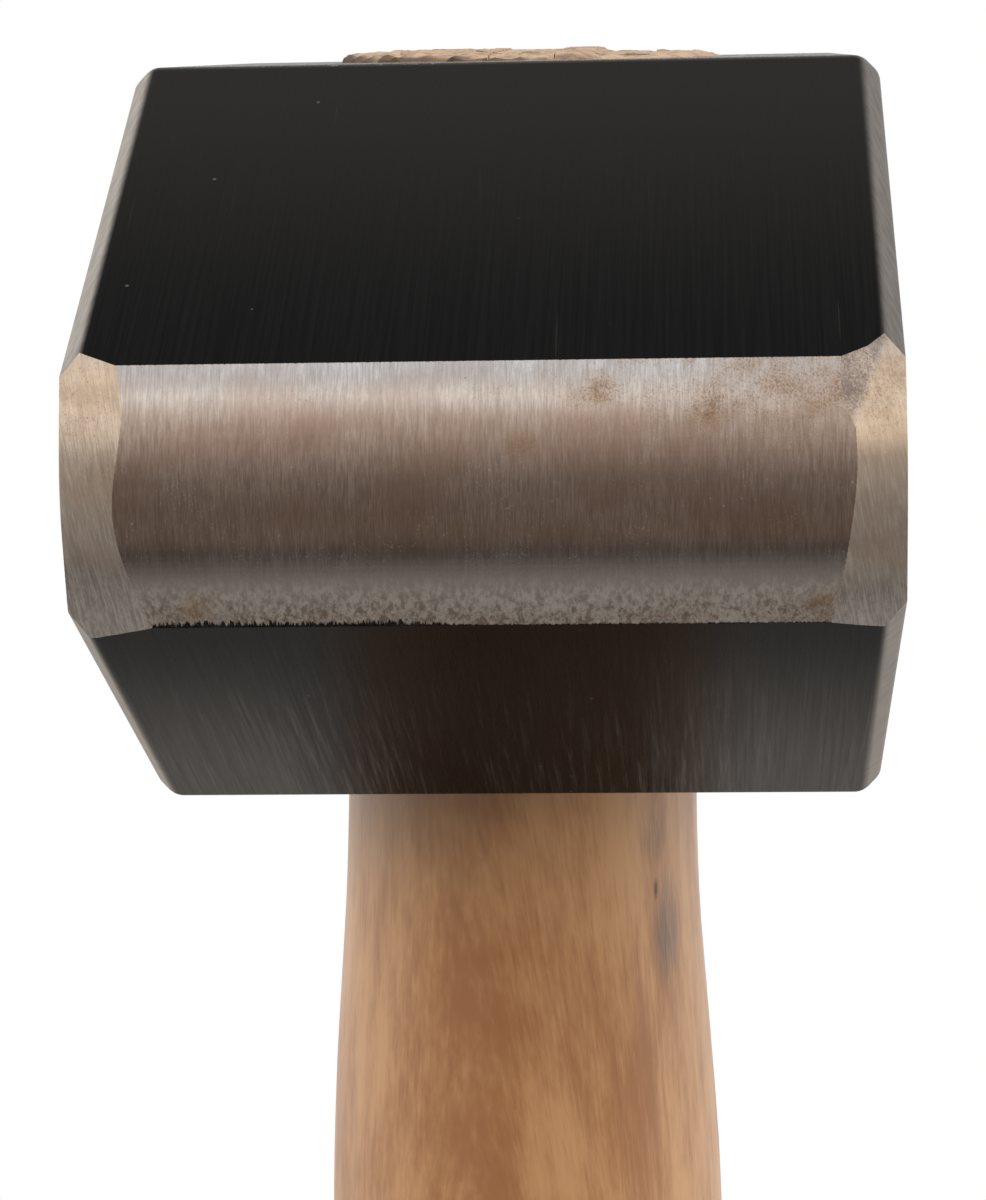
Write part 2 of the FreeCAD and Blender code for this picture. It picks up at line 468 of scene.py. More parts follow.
def wedge_prism(low, high, tip, along_y, ease):
    """A wedge from its CAD box, thinner at its lower end, made larger all round by ease."""
    bm = bmesh.new()
    middle = (low + high) / 2
    half = (high - low) / 2
    thin = tip / 2
    corners = []
    for height, share in ((low.z, 0), (high.z + 1.0, 1)):
        thick = thin + ((half.x if along_y else half.y) - thin) * share + ease
        wide = (half.y if along_y else half.x) + ease
        for a, b in ((-1, -1), (1, -1), (1, 1), (-1, 1)):
            x, y = (a * thick, b * wide) if along_y else (a * wide, b * thick)
            corners.append(bm.verts.new((middle.x + x, middle.y + y, height)))
    lower, upper = corners[:4], corners[4:]
    bm.faces.new(reversed(lower))
    bm.faces.new(upper)
    for index in range(4):
        after = (index + 1) % 4
        bm.faces.new((lower[index], lower[after], upper[after], upper[index]))
    bmesh.ops.recalc_face_normals(bm, faces=bm.faces)
    return bm


def long_wedge_prism(ease):
    """The wooden wedge's prism, run on past the eye at both ends."""
    low, high = node_box("wooden_wedge")
    low.y, high.y = low.y - 3, high.y + 3
    return wedge_prism(low, high, WEDGE_TIP, True, ease)


def make_handle_and_wooden_wedge():
    """Both are cut from the whole handle's solid, so that the sawn end runs on across them."""
    wedge_drop = 0.12                      # the wedge was sawn off a little lower
    cut_ease, wedge_ease = 0.05, -0.03     # room left round a cut, and taken off the wedge
    handle_wood = wood_material("handle_wood", wedge=False)
    wedge_wood = wood_material("wedge_wood", wedge=True)
    handle = new_piece(handle_body(), "handle_shaped", handle_wood)
    wedge = new_piece(handle_body(), "wedge_in_kerf", wedge_wood)
    wedge.data.transform(Matrix.Translation((0, 0, -wedge_drop)))
    combine(handle, new_piece(long_wedge_prism(cut_ease), "tool", handle_wood), "DIFFERENCE")
    combine(wedge, new_piece(long_wedge_prism(wedge_ease), "tool", wedge_wood), "INTERSECT")
    for name in STEEL_WEDGES:
        for piece in (handle, wedge):
            cutter = wedge_prism(*node_box(name), WEDGE_TIP, False, cut_ease)
            combine(piece, new_piece(cutter, "tool", handle_wood), "DIFFERENCE")
    finish_piece(handle, "handle_shaped", "handle_wood", "handle")
    finish_piece(wedge, "wedge_in_kerf", "wedge_wood", "wooden_wedge")
    for piece in (handle, wedge):
        sharpen(piece, 35)


def sharpen(piece, degrees):
    """Keeps edges crisp where two faces meet at more than this angle."""
    bm = bmesh.new()
    bm.from_mesh(piece.data)
    for edge in bm.edges:
        edge.smooth = edge.calc_face_angle(0) < math.radians(degrees)
    bm.to_mesh(piece.data)
    bm.free()


def make_steel_wedges():
    """Each has rounded edges, and a top that the hammer that drove it has dented."""
    material = wedge_steel_material()
    for name in STEEL_WEDGES:
        low, high = node_box(name)
        bm = wedge_prism(low, high, WEDGE_TIP, False, 0)
        for vert in bm.verts:
            if vert.co.z > high.z:
                vert.co.z = high.z - 0.06
        bmesh.ops.subdivide_edges(bm, edges=bm.edges[:], cuts=14, use_grid_fill=True)
        edges = [edge for edge in bm.edges if edge.calc_face_angle(0) > 1.0]
        bmesh.ops.bevel(bm, geom=edges, offset=0.18, segments=2, affect="EDGES")
        for vert in bm.verts:
            place = vert.co
            dent = 0.10 * noise.fractal(Vector((place.x * 0.5, place.y * 0.8, low.y)), 0.6, 2.0, 3)
            if place.z > high.z - 0.5:
                vert.co.z -= max(0.0, 0.50 + dent)
        piece = new_piece(bm, name + "_driven", material)
        finish_piece(piece, name + "_driven", "wedge_steel", name)
        sharpen(piece, 40)


# ---- node helpers ----


class Nodes:
    """A short way to write down a material's nodes. Values may be numbers, colours or sockets."""

    def __init__(self, tree):
        self.tree = tree
        tree.nodes.clear()

    def put(self, socket, value):
        """Links another node's socket, or writes a plain value."""
        if isinstance(value, bpy.types.NodeSocket):
            self.tree.links.new(value, socket)
        elif isinstance(value, tuple) and socket.type == "RGBA" and len(value) == 3:
            socket.default_value = (*value, 1.0)
        else:
            socket.default_value = value

    def node(self, kind, settings=None, **inputs):
        """A new node. An input's spaces are written as underscores."""
        made = self.tree.nodes.new("ShaderNode" + kind)
        for name, value in (settings or {}).items():
            setattr(made, name, value)
        for name, value in inputs.items():
            self.put(made.inputs[name.replace("_", " ")], value)
        return made

    def math(self, operation, *values):
        made = self.node("Math", {"operation": operation})
        for socket, value in zip(made.inputs, values):
            self.put(socket, value)
        return made.outputs[0]

    def add(self, a, b):
        return self.math("ADD", a, b)

    def sub(self, a, b):
        return self.math("SUBTRACT", a, b)

    def times(self, a, b):
        return self.math("MULTIPLY", a, b)

    def least(self, a, b):
        return self.math("MINIMUM", a, b)

    def most(self, a, b):
        return self.math("MAXIMUM", a, b)

    def size(self, a):
        return self.math("ABSOLUTE", a)

    def between(self, value, low, high, start=0.0, end=1.0):
        """start below low, end above high, and a smooth change from one to the other."""
        made = self.node("MapRange", {"interpolation_type": "SMOOTHSTEP"})
        for name, item in (("Value", value), ("From Min", low), ("From Max", high)):
            self.put(made.inputs[name], item)
        made.inputs["To Min"].default_value = start
        made.inputs["To Max"].default_value = end
        return made.outputs["Result"]

    def mix(self, share, a, b):
        """Two numbers or two colours."""
        is_number = isinstance(b, (int, float)) or getattr(b, "type", "") == "VALUE"
        made = self.node("Mix", {"data_type": "FLOAT" if is_number else "RGBA"})
        index = 2 if is_number else 6
        self.put(made.inputs[0], share)
        self.put(made.inputs[index], a)
        self.put(made.inputs[index + 1], b)
        return made.outputs[0 if is_number else 2]

    def vector(self, operation, a, b):
        made = self.node("VectorMath", {"operation": operation})
        self.put(made.inputs[0], a)
        self.put(made.inputs[1], b)
        return made.outputs["Vector"]

    def distance(self, a, b):
        """How far apart two points are."""
        made = self.node("VectorMath", {"operation": "DISTANCE"})
        self.put(made.inputs[0], a)
        self.put(made.inputs[1], b)
        return made.outputs["Value"]

    def parts(self, vector):
        made = self.node("SeparateXYZ", Vector=vector)
        return made.outputs[0], made.outputs[1], made.outputs[2]

    def join(self, x, y, z):
        return self.node("CombineXYZ", X=x, Y=y, Z=z).outputs[0]

    def noise(self, vector, detail=2.0, rough=0.5, scale=1.0):
        made = self.node("TexNoise", Vector=vector, Scale=scale, Detail=detail, Roughness=rough)
        return made.outputs["Fac"]

    def cells(self, vector):
        """Distance to the nearest cell centre, and a random number for each cell."""
        made = self.node("TexVoronoi", Vector=vector, Scale=1.0)
        return made.outputs["Distance"], self.parts(made.outputs["Color"])[0]

    def place(self):
        """Where a point is, in millimetres, measured from the middle of the head."""
        metres = self.node("TexCoord").outputs["Object"]
        return self.vector("SUBTRACT", self.vector("MULTIPLY", metres, (1 / MM,) * 3), (0, 0, HEAD_MIDDLE))

    def stretched(self, place, x, y, z):
        return self.vector("MULTIPLY", place, (x, y, z))

    def spot(self, place, centre, radius, soft):
        """1 inside a spot and 0 outside."""
        return self.between(self.distance(place, centre), radius, radius + soft, 1.0, 0.0)


def new_material(name):
    material = bpy.data.materials.new(name)
    material.use_nodes = True
    return material, Nodes(material.node_tree)


def shade(nodes, bump_height, bump_strength, bump_distance, **inputs):
    """One Principled shader with a bump, wired to the output."""
    bump = nodes.node("Bump", Height=bump_height, Strength=bump_strength, Distance=bump_distance * MM)
    shader = nodes.node("BsdfPrincipled", Normal=bump.outputs[0], **inputs)
    output = nodes.node("OutputMaterial")
    nodes.tree.links.new(shader.outputs[0], output.inputs["Surface"])
    return shader


# ---- materials ----
# Places are in millimetres from the middle of the head: x across, y along, z up.

# Rusty patches on a striking face: distance across, height, and radius.
RUST_SPOTS = ((2.4, 2.7, 1.3), (12.4, 4.9, 1.6), (6.6, 5.8, 1.2), (18.4, -6.0, 1.1), (-15.7, -6.2, 1.2))
CORNER_SLANT = 0.18        # how far the grinding marks on a corner lean


def bare_edges(n, place):
    """1 where an edge has been knocked, and bare metal shows."""
    x, y, z = n.parts(place)
    to_cheek = n.size(n.sub(n.size(x), HALF_WIDTH - LONG_BEVEL))
    to_flat_end = n.most(n.size(n.sub(n.size(y), FLAT_HALF_LENGTH)), n.sub(HALF_WIDTH - 0.5, n.size(z)))
    rubbed = n.least(n.add(to_cheek, 0.25), n.add(to_flat_end, 0.15))
    patchy = n.noise(n.stretched(place, 0.8, 0.35, 0.35), 6.0, 0.7)
    return n.between(n.add(rubbed, n.times(patchy, 1.3)), 0.62, 0.74, 1.0, 0.0)


def lacquer_colour_with_painted_light(n, place):
    """Painted light and shade on the lacquer: darkest level with the faces, and painted lighter towards the
    flat top and underside. On the lower half it is painted lighter still, with streaks, as a reflection on
    each side of the handle, and painted dark as shade in front of it."""
    x, _, z = n.parts(place)
    # Painted light: the lacquer is painted darkest by the faces and lighter towards the flat top and
    # underside.
    thin = n.between(n.size(z), FACE_HALF_HEIGHT, HALF_WIDTH)
    colour = n.mix(thin, (0.0060, 0.0062, 0.0065), (0.0225, 0.0222, 0.0212))
    # Lower half: painted shade in front of the handle, and a painted reflection, in streaks, on each side of
    # it.
    lower_half = n.times(thin, n.between(z, 0.0, -FACE_HALF_HEIGHT))
    brushed = n.noise(n.stretched(place, 3.4, 0.09, 0.09), 4.0, 0.7)
    beside_handle = n.between(n.add(n.size(x), n.times(n.sub(brushed, 0.5), 9.0)), 6.0, 16.0)
    colour = n.mix(n.times(lower_half, n.sub(1.0, beside_handle)), colour, (0.0040, 0.0040, 0.0040))
    colour = n.mix(n.times(lower_half, beside_handle), colour, (0.118, 0.115, 0.110))
    painted_sheen_streaks = n.times(n.times(lower_half, n.between(brushed, 0.50, 0.66)), n.mix(beside_handle, 0.18, 0.5))
    return n.mix(painted_sheen_streaks, colour, (0.17, 0.166, 0.160))


def long_bevel_painted_reflection(n, place):
    """Painted reflection on the narrow bevels: paler on the left than on the right, but for the right one's
    lower end.
    """
    x, _, z = n.parts(place)
    colour = n.mix(n.between(x, -5.0, 5.0), (0.53, 0.502, 0.464), (0.215, 0.205, 0.191))
    lower_right = n.times(n.between(x, 0.0, 5.0), n.between(z, 0.0, -5.0))
    return n.mix(lower_right, colour, (0.425, 0.402, 0.376))


def lacquer_material():
    """Thin black lacquer over brushed steel: fine scratches, specks and bare metal at the edges."""
    material, n = new_material("black_lacquer")
    place = n.place()
    x, y, z = n.parts(place)
    brushing = n.noise(n.stretched(place, 5.5, 0.07, 0.07), 3.0, 0.6)
    clouds = n.noise(n.stretched(place, 0.07, 0.05, 0.05), 3.0, 0.5)
    scratch = n.noise(n.stretched(place, 4.2, 0.09, 0.09), 1.0, 0.5)
    scratches = n.times(n.between(scratch, 0.74, 0.80), n.between(clouds, 0.42, 0.6, 0.25, 1.0))
    distance, chance = n.cells(n.stretched(place, 0.55, 0.55, 0.55))
    specks = n.times(n.between(distance, 0.03, 0.08, 1.0, 0.0), n.between(chance, 0.88, 0.90))
    bare = bare_edges(n, place)

    # The narrow bevels along the cheeks are lacquered over cross-brushing, and are painted greyer, as a
    # reflection.
    inner_edge = HALF_WIDTH - LONG_BEVEL
    on_bevel = n.between(n.size(x), inner_edge - 0.25, inner_edge + 0.35)
    on_bevel = n.times(on_bevel, n.between(n.size(x), HALF_WIDTH - 0.03, HALF_WIDTH - 0.005, 1.0, 0.0))
    diagonal = n.join(n.times(x, 0.5), n.times(n.add(y, z), 0.4), n.times(n.sub(z, y), 3.2))
    diagonal = n.noise(diagonal, 3.0, 0.6)

    colour = lacquer_colour_with_painted_light(n, place)
    colour = n.mix(n.between(brushing, 0.3, 0.75, 0.0, 0.3), colour, (0.0190, 0.0188, 0.0185))
    bevel_painted_reflection = n.times(on_bevel, n.between(diagonal, 0.3, 0.7, 0.7, 1.0))
    colour = n.mix(bevel_painted_reflection, colour, long_bevel_painted_reflection(n, place))
    colour = n.mix(n.times(scratches, 0.22), colour, (0.070, 0.068, 0.065))
    colour = n.mix(n.times(specks, 0.7), colour, (0.16, 0.15, 0.135))
    colour = n.mix(bare, colour, (0.40, 0.38, 0.36))
    roughness = n.mix(n.between(brushing, 0.3, 0.7), 0.24, 0.32)
    roughness = n.mix(n.most(bare, on_bevel), roughness, 0.42)
    height = n.add(n.times(brushing, 0.5), n.times(n.noise(place, 2.0, 0.5, 2.0), 0.15))
    height = n.add(height, n.times(n.times(diagonal, on_bevel), 0.8))
    height = n.sub(height, n.add(scratches, n.times(bare, 0.6)))
    shade(n, height, 0.16, 0.02, Base_Color=colour, Roughness=roughness, Metallic=bare, IOR=1.08)
    return material


def rust_patch(n, place, patches):
    """1 in the middle of each rusty patch on a striking face."""
    x, _, z = n.parts(place)
    flat = n.join(x, 0.0, z)
    patch = 0.0
    for spot_x, spot_z, radius in RUST_SPOTS:
        patch = n.most(patch, n.spot(flat, (spot_x, 0.0, spot_z), radius * 0.1, radius))
    return n.times(patch, n.between(patches, 0.34, 0.62, 0.45, 1.0))


def pitted_and_painted_highlight(n, place):
    """Where the upper right corner was ground over pitted steel, and where outside it a warm highlight is
    painted on."""
    x, _, z = n.parts(place)
    outward = n.sub(x, n.times(z, 0.43))
    pitted = n.times(n.between(outward, 18.1, 18.7, 1.0, 0.0), n.between(z, 3.4, 5.0))
    pitted = n.times(pitted, n.between(x, 18.6, 19.4))
    painted_highlight = n.times(n.between(outward, 18.3, 18.9), n.between(z, -1.0, 2.0))
    return pitted, painted_highlight


def face_grime_and_painted_light(n, place, lower_edge, colour):
    """Painted shade over the lower part of a striking face, patches of painted reflection lower down, and
    real grime broken up along its lower edge.
    """
    z = n.parts(place)[2]
    grime_and_sheen_noise = n.noise(n.stretched(place, 3.4, 3.4, 1.5), 4.0, 0.7)
    # rubbed: patches low on the face that are painted lighter, as a reflection.
    rubbed = n.times(n.between(z, -3.9, -5.4), n.between(grime_and_sheen_noise, 0.38, 0.58, 0.9, 0.0))
    dirty = n.times(lower_edge, n.between(grime_and_sheen_noise, 0.50, 0.62, 0.0, 0.75))
    # Painted shade over the lower part, then the painted reflection in patches, then real grime along the
    # lower edge.
    colour = n.mix(n.times(n.between(z, -2.2, -4.2), 0.85), colour, (0.25, 0.228, 0.205))
    colour = n.mix(rubbed, colour, (0.40, 0.372, 0.336))
    return n.mix(dirty, colour, (0.13, 0.100, 0.078))


def corner_wear_and_painted_highlight(n, place, brushing, pitted_share, painted_highlight, colour):
    """A ground corner: darker and greyer low down, browner where it is pitted, and with a warm painted
    highlight on the right, part way up.
    """
    x, _, z = n.parts(place)
    low = n.between(n.add(z, n.times(x, 0.03)), -3.0, -5.2)
    dull = n.mix(n.between(brushing, 0.40, 0.60), (0.235, 0.215, 0.195), (0.385, 0.360, 0.330))
    colour = n.mix(n.times(low, 0.9), colour, dull)
    colour = n.mix(pitted_share, colour, (0.36, 0.315, 0.30))
    # Painted highlight: the corner is painted warmer and brighter there.
    return n.mix(n.times(painted_highlight, 0.4), colour, (0.64, 0.54, 0.43))


def lacquer_teeth(n, place):
    """1 where the lacquer runs over the edge of a striking face, in small teeth that are longer at
    the lower left."""
    x, _, z = n.parts(place)
    teeth = n.noise(n.join(n.times(x, 4.6), 0.0, n.times(z, 0.4)), 4.0, 0.8)
    lower = n.between(z, 2.0, -2.0)
    long_teeth = n.times(lower, n.between(x, 0.0, -5.0))
    longest = n.mix(long_teeth, n.mix(lower, 0.05, 0.10), 0.36)
    least_reach = n.add(n.times(lower, 0.04), n.times(long_teeth, 0.08))
    reach = n.add(n.times(n.between(teeth, 0.38, 0.64), longest), least_reach)
    return n.between(n.sub(reach, n.sub(FACE_HALF_HEIGHT, n.size(z))), 0.0, 0.05)


def ground_steel_material(name, is_face):
    """Ground steel, of a striking face or of its corners: fine upright grinding marks, brown tarnish,
    rust specks and small pits."""
    material, n = new_material(name)
    place = n.place()
    x, y, z = n.parts(place)
    leaning = n.join(n.add(x, n.times(z, 0.0 if is_face else CORNER_SLANT)), y, z)
    hair = n.noise(n.stretched(leaning, 9.0, 0.8, 0.8), 2.0, 0.65)
    coarse = n.noise(n.stretched(leaning, 2.4, 0.16, 0.16), 3.0, 0.6)
    mottle = n.noise(n.stretched(place, 4.0, 4.0, 3.0), 4.0, 0.7)
    brushing = n.add(n.times(hair, 0.50), n.add(n.times(coarse, 0.20), n.times(mottle, 0.30)))
    tarnish = n.noise(n.stretched(place, 0.13, 0.13, 0.20), 5.0, 0.65)
    patches = n.noise(n.stretched(place, 0.35, 0.35, 0.45), 5.0, 0.7)
    pitted, painted_highlight = (0.0, 0.0) if is_face else pitted_and_painted_highlight(n, place)

    # Where rust has taken hold: the upper right, the lower edge, the corners' tops and a few patches.
    upper_right = n.times(n.between(x, -3.0, 17.0), n.between(z, 0.5, 6.0))
    upper_left = n.times(n.between(x, -18.0, -20.0), n.between(z, 0.0, 4.0))
    lower_edge = n.between(z, -4.6, -6.8)
    patch = rust_patch(n, place, patches)
    dense = n.add(n.times(upper_right, 0.13), n.times(lower_edge, 0.19 if is_face else 0.04))
    dense = n.add(dense, n.add(n.times(pitted, 0.08), n.times(upper_left, 0.06)))
    dense = n.add(dense, n.add(n.times(patch, 0.13), n.times(n.sub(patches, 0.5), 0.35)))
    fleck = n.noise(n.stretched(place, 8.5, 8.5, 6.5), 5.0, 0.8)
    flecks = n.between(n.add(fleck, dense), 0.58, 0.84)
    distance, chance = n.cells(n.stretched(place, 1.6, 1.6, 1.6))
    pits = n.times(n.between(distance, 0.04, 0.13, 1.0, 0.0), n.between(chance, 0.92, 0.94))

    colour = n.mix(n.between(brushing, 0.38, 0.62), (0.43, 0.39, 0.355), (0.65, 0.61, 0.57))
    colour = n.mix(n.times(n.between(tarnish, 0.40, 0.64), 0.55), colour, (0.43, 0.345, 0.285))
    colour = n.mix(n.between(mottle, 0.42, 0.64, 0.0, 0.28), colour, (0.28, 0.235, 0.200))
    if is_face:
        colour = face_grime_and_painted_light(n, place, lower_edge, colour)
    else:
        pitted_share = n.times(pitted, n.between(patches, 0.35, 0.60, 0.5, 1.0))
        colour = corner_wear_and_painted_highlight(n, place, brushing, pitted_share, painted_highlight, colour)
        # Fewer flecks under the painted highlight.
        flecks = n.times(flecks, n.sub(1.0, n.times(painted_highlight, 0.35)))
    rusty = n.times(n.sub(upper_right, pitted), n.between(patches, 0.40, 0.62, 0.0, 0.40))
    colour = n.mix(n.add(n.times(patch, 0.55), rusty), colour, (0.36, 0.235, 0.135))
    stained = n.most(flecks, n.times(pits, 0.8))
    colour = n.mix(n.times(stained, 0.62), colour, (0.14, 0.090, 0.058))

    roughness = n.mix(n.between(brushing, 0.3, 0.7), 0.13, 0.19)
    roughness = n.mix(n.between(upper_right, 0.0, 1.0, 0.0, 0.4), roughness, 0.34)
    roughness = n.mix(n.between(z, -2.0, -5.0, 0.0, 0.8), roughness, 0.34)
    roughness = n.mix(stained, roughness, 0.6)
    metallic = n.sub(1.0, n.times(stained, 0.6))
    smoother = n.between(z, -1.0, -4.0, 1.0, 0.6 if is_face else 1.0)
    height = n.times(n.sub(brushing, n.times(flecks, 0.5)), smoother)
    if is_face:
        painted = lacquer_teeth(n, place)
        colour = n.mix(painted, colour, (0.006, 0.005, 0.005))
        roughness = n.mix(painted, roughness, 0.3)
    shade(n, height, 0.20, 0.03, Base_Color=colour, Roughness=roughness, Metallic=metallic)
    return material


def split_and_smudge(n, place, fibres, colour):
    """A small split with a grey smudge under it, on the front right of the handle below the head."""
    x, y, z = n.parts(place)
    front = n.between(y, -4.0, -9.0)
    split = n.spot(n.join(x, 0.0, n.times(z, 0.18)), (8.5, 0.0, -32.4 * 0.18), 0.04, 0.14)
    smudge = n.spot(n.join(x, 0.0, n.times(z, 0.25)), (9.2, 0.0, -35.6 * 0.25), 0.25, 1.0)
    smear = n.spot(n.join(x, 0.0, n.times(z, 0.35)), (8.4, 0.0, -28.9 * 0.35), 0.15, 0.8)
    smudge = n.most(smudge, n.times(smear, 0.5))
    smudge = n.times(smudge, n.between(fibres, 0.35, 0.6, 1.0, 0.55))
    colour = n.mix(n.times(n.times(smudge, front), 0.95), colour, (0.20, 0.140, 0.112))
    return n.mix(n.times(n.times(split, front), 0.8), colour, (0.05, 0.025, 0.018))


def sawn_colour(n, place, sawn, colour):
    """The sawn end is bare and dirty, and painted darkest round its rim, as shade, more on the left."""
    x, y, _ = n.parts(place)
    dirt = n.noise(place, 4.0, 0.7, 0.8)
    colour = n.mix(n.times(sawn, 0.6), colour, (0.66, 0.54, 0.41))
    colour = n.mix(n.times(sawn, n.between(dirt, 0.42, 0.66, 0.0, 0.6)), colour, (0.17, 0.115, 0.075))
    from_middle = n.join(n.times(n.sub(x, EYE_TOP[1]), 1 / EYE_TOP[2]), n.times(y, 1 / EYE_TOP[3]), 0.0)
    inside_rim = n.spot(from_middle, (0.0, 0.0, 0.0), 0.90, 0.08)
    # Painted shade round the rim, where the eye's edge meets the wood.
    painted_rim_shade = n.times(n.sub(1.0, inside_rim), n.between(x, 6.0, 0.0, 0.2, 0.85))
    return n.mix(n.times(sawn, painted_rim_shade), colour, (0.07, 0.045, 0.03))


def wood_material(name, wedge):
    """Satin varnished wood, its grain along the handle, with bare fibres on the sawn end."""
    material, n = new_material(name)
    place = n.place()
    x, y, z = n.parts(place)
    lean = n.times(z, n.mix(n.between(x, -9.0, 0.0), 0.03, 0.13))
    slanted = n.join(n.add(x, n.times(lean, n.between(n.size(x), 5.0, 12.0, 1.0, 0.3))), y, z)
    bend = n.noise(n.stretched(slanted, 0.035, 0.035, 0.010), 2.0, 0.5)
    from_pith = n.distance(n.stretched(slanted, 1.0, 1.0, 0.0), (-38.0, 52.0, 0.0))
    rings = n.add(n.times(from_pith, 0.42), n.times(bend, 5.0))
    ring = n.math("SINE", n.times(rings, 2 * math.pi))
    fibres = n.noise(n.stretched(slanted, 4.5, 4.5, 0.35), 3.0, 0.65)
    streaks = n.noise(n.stretched(slanted, 1.3, 1.3, 0.10), 4.0, 0.65)
    clouds = n.noise(n.stretched(slanted, 0.17, 0.17, 0.055), 5.0, 0.66)
    pores = n.between(n.noise(n.stretched(slanted, 2.4, 2.4, 0.16), 2.0, 0.5), 0.64, 0.74)
    # The handle's sides are painted a little lighter, as light falling on them, and have fewer pores.
    at_edge = n.between(n.size(n.add(x, 1.0)), 8.0, 13.5)
    tone = n.add(n.times(fibres, 0.19), n.add(n.times(streaks, 0.18), n.times(clouds, 0.63)))
    tone = n.add(n.add(tone, n.times(ring, 0.008)), n.times(at_edge, 0.035))
    if wedge:
        pale, dark = (0.72, 0.46, 0.26), (0.52, 0.29, 0.14)
    else:
        pale, dark = (0.76, 0.440, 0.215), (0.47, 0.218, 0.092)
    colour = n.mix(n.between(tone, 0.38, 0.63), dark, pale)
    colour = n.mix(n.times(pores, n.mix(at_edge, 0.24, 0.05)), colour, (0.32, 0.135, 0.060))
    # Painted shade: the wood is darker just under the head, more on the left.
    painted_shade_under_head = n.times(n.between(z, -36.0, -HALF_WIDTH), n.between(z, HALF_WIDTH - 1.0, HALF_WIDTH - 2.0))
    colour = n.mix(n.times(painted_shade_under_head, n.between(x, 8.0, -8.0, 0.08, 0.62)), colour, (0.22, 0.150, 0.095))
    colour = split_and_smudge(n, place, fibres, colour)
    sawn = n.between(z, HALF_WIDTH - 0.2, HALF_WIDTH + 0.1)
    colour = sawn_colour(n, place, sawn, colour)
    roughness = n.mix(n.between(fibres, 0.3, 0.7), 0.38, 0.46)
    roughness = n.mix(sawn, roughness, 0.85)
    height = n.add(n.times(fibres, 0.6), n.times(ring, 0.05))
    height = n.sub(height, n.times(pores, 0.8))
    coat = n.mix(sawn, 0.15, 0.0)
    shade(n, height, 0.14, 0.05, Base_Color=colour, Roughness=roughness, Coat_Weight=coat)
    return material


def wedge_steel_material():
    """Plain steel wedges, hammered in and lightly rusted."""
    material, n = new_material("wedge_steel")
    place = n.place()
    rust = n.noise(place, 5.0, 0.65, 0.7)
    grain = n.noise(place, 3.0, 0.6, 6.0)
    rusty = n.between(rust, 0.46, 0.62)
    colour = n.mix(grain, (0.30, 0.29, 0.28), (0.46, 0.45, 0.43))
    colour = n.mix(n.times(rusty, 0.8), colour, (0.20, 0.095, 0.045))
    roughness = n.mix(rusty, 0.38, 0.8)
    metallic = n.between(rusty, 0.0, 1.0, 1.0, 0.25)
    shade(n, n.add(grain, rust), 0.4, 0.05, Base_Color=colour, Roughness=roughness, Metallic=metallic)
    return material


# ---- studio ----

# The light that comes from each side: how far up it comes from, -1 to 1, and its colour.
FRONT_LIGHT = (
    (-1.0, (0.20, 0.18, 0.165)), (-0.80, (0.18, 0.16, 0.145)), (-0.62, (0.075, 0.064, 0.058)),
    (-0.50, (0.085, 0.070, 0.062)), (-0.40, (0.155, 0.115, 0.092)), (-0.19, (0.158, 0.117, 0.097)),
    (0.02, (0.200, 0.154, 0.131)), (0.17, (0.32, 0.247, 0.209)), (0.34, (0.50, 0.397, 0.341)),
    (0.45, (0.64, 0.52, 0.455)), (0.53, (0.86, 0.775, 0.715)), (0.60, (1.12, 1.06, 1.01)),
    (0.66, (0.90, 0.87, 0.87)), (0.72, (0.78, 0.80, 0.86)), (0.82, (0.92, 0.99, 1.10)),
    (1.0, (0.40, 0.40, 0.41)),
)
BACK_LIGHT = (
    (-1.0, (0.38, 0.37, 0.36)), (-0.3, (0.65, 0.63, 0.61)), (-0.05, (0.95, 0.94, 0.92)),
    (0.35, (0.95, 0.95, 0.94)), (0.65, (0.60, 0.60, 0.60)), (0.88, (0.40, 0.40, 0.405)),
    (1.0, (0.36, 0.36, 0.37)),
)
SIDE_LIGHT = (
    (-1.0, (0.20, 0.18, 0.165)), (-0.45, (0.29, 0.256, 0.226)), (-0.12, (0.39, 0.343, 0.300)),
    (0.17, (0.47, 0.405, 0.345)), (0.32, (1.12, 0.96, 0.78)), (0.45, (1.15, 1.01, 0.85)),
    (0.72, (0.95, 0.86, 0.78)), (1.0, (0.40, 0.40, 0.41)),
)

# The camera's fitted place, in millimetres from the middle of the head, and its turn in degrees.
CAMERA_PLACE = (12.45, -240.8, 23.9)
CAMERA_TURN = (9.0, 3.58, -0.50)


def make_camera():
    """Looks end-on along the head, a little from above and from the right."""
    data = bpy.data.cameras.new("camera")
    data.sensor_width = 36
    data.lens = 105
    camera = bpy.data.objects.new("camera", data)
    across, along, up = CAMERA_PLACE
    camera.location = Vector((across, along, HEAD_MIDDLE + up)) * MM
    turn = Euler([math.radians(angle) for angle in CAMERA_TURN], "XYZ").to_matrix()
    z_up = Matrix(((1, 0, 0), (0, 0, -1), (0, 1, 0)))
    flip = Matrix(((1, 0, 0), (0, -1, 0), (0, 0, -1)))
    camera.rotation_euler = (flip @ turn @ z_up).transposed().to_euler("XYZ")
    data.clip_start = 0.01
    data.clip_end = 20
    bpy.context.scene.collection.objects.link(camera)
    bpy.context.scene.camera = camera


def ramp(n, value, stops):
    """A run of colours over -1 to 1, from a list of places and colours."""
    made = n.node("ValToRGB", Fac=n.add(n.times(value, 0.5), 0.5))
    elements = made.color_ramp.elements
    while len(elements) < len(stops):
        elements.new(0.5)
    for element, (where, colour) in zip(elements, stops):
        element.position = where * 0.5 + 0.5
        element.color = (*colour, 1)
    return made.outputs["Color"]


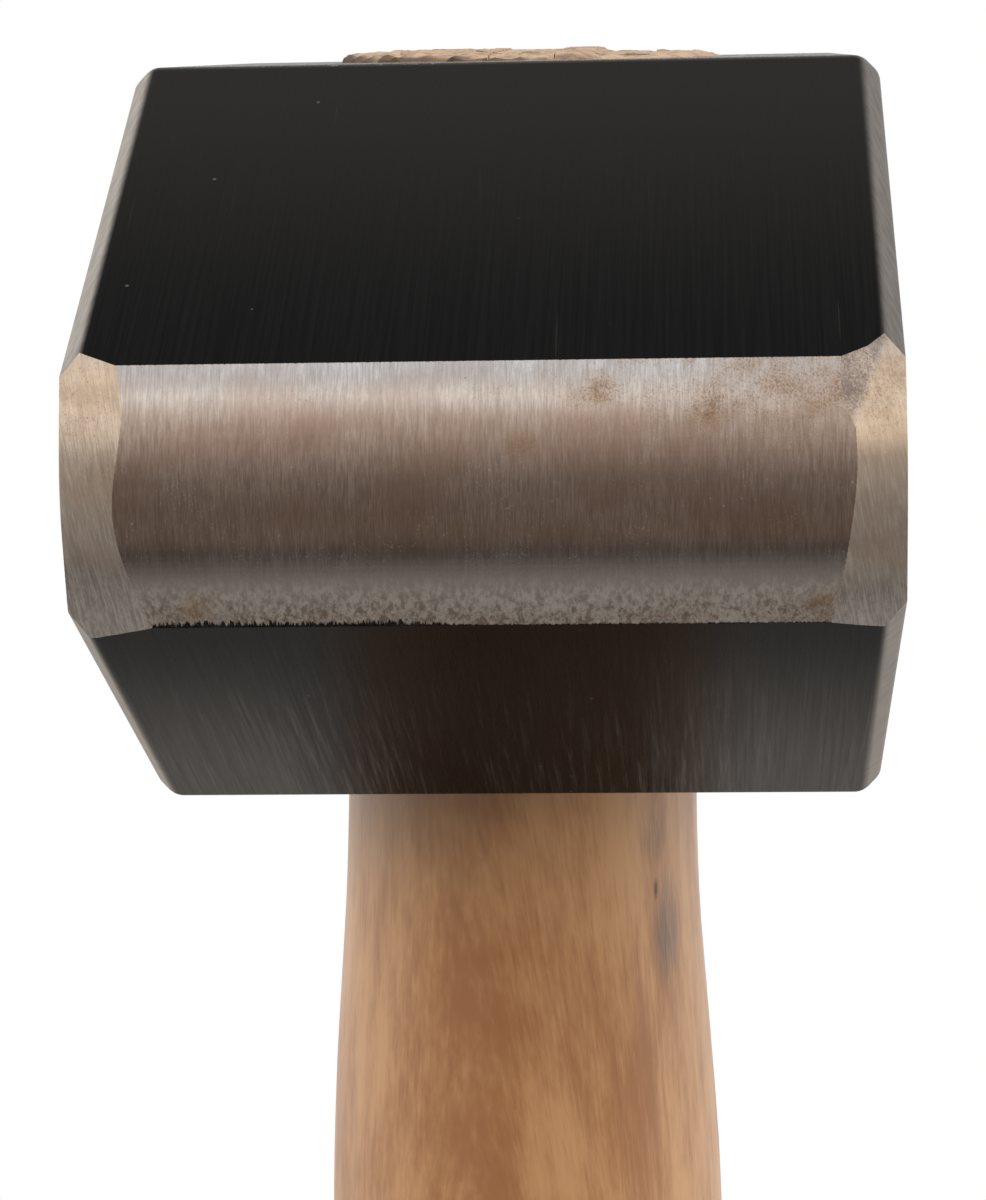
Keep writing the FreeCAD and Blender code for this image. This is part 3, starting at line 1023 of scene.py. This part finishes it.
def make_world():
    """A white background, with softer surroundings for the light and the reflections."""
    world = bpy.data.worlds.new("studio")
    world.use_nodes = True
    bpy.context.scene.world = world
    n = Nodes(world.node_tree)
    x, y, z = n.parts(n.node("TexCoord").outputs["Generated"])
    front = ramp(n, z, FRONT_LIGHT)
    back = ramp(n, z, BACK_LIGHT)
    side = ramp(n, z, SIDE_LIGHT)
    front_and_sides = n.mix(n.between(n.size(x), 0.20, 0.55), front, side)
    around = n.mix(n.between(y, -0.35, 0.15), front_and_sides, back)
    seen = n.node("Background", Color=(1.0, 1.0, 1.0), Strength=1.0)
    lighting = n.node("Background", Color=around, Strength=1.2)
    choice = n.node("MixShader", Fac=n.node("LightPath").outputs["Is Camera Ray"])
    n.tree.links.new(lighting.outputs[0], choice.inputs[1])
    n.tree.links.new(seen.outputs[0], choice.inputs[2])
    output = n.node("OutputWorld")
    n.tree.links.new(choice.outputs[0], output.inputs["Surface"])


def make_floor():
    """A plain pale disc that the butt stands on. Its radius is in metres."""
    bm = bmesh.new()
    bmesh.ops.create_circle(bm, cap_ends=True, segments=128, radius=0.35)
    material, n = new_material("floor")
    grain = n.noise(n.place(), 3.0, 0.6, 0.3)
    colour = n.mix(grain, (0.60, 0.59, 0.58), (0.64, 0.63, 0.62))
    shade(n, grain, 0.05, 0.05, Base_Color=colour, Roughness=0.7)
    floor = new_piece(bm, "floor", material)


def make_light():
    """One soft lamp overhead, a little to the front and right, aimed at the head. In metres and watts."""
    data = bpy.data.lights.new("overhead", "AREA")
    data.shape = "DISK"
    data.size = 0.4
    data.energy = 0.9
    data.color = (1.0, 0.98, 0.96)
    light = bpy.data.objects.new("overhead", data)
    light.location = (0.22, -0.16, 0.80)
    aim = Vector((0, 0, HEAD_MIDDLE * MM)) - light.location
    light.rotation_euler = aim.to_track_quat("-Z", "Y").to_euler()
    bpy.context.scene.collection.objects.link(light)


make_camera()
make_world()
make_light()
make_floor()
make_head()
make_handle_and_wooden_wedge()
make_steel_wedges()
bpy.context.scene.view_settings.view_transform = "Standard"
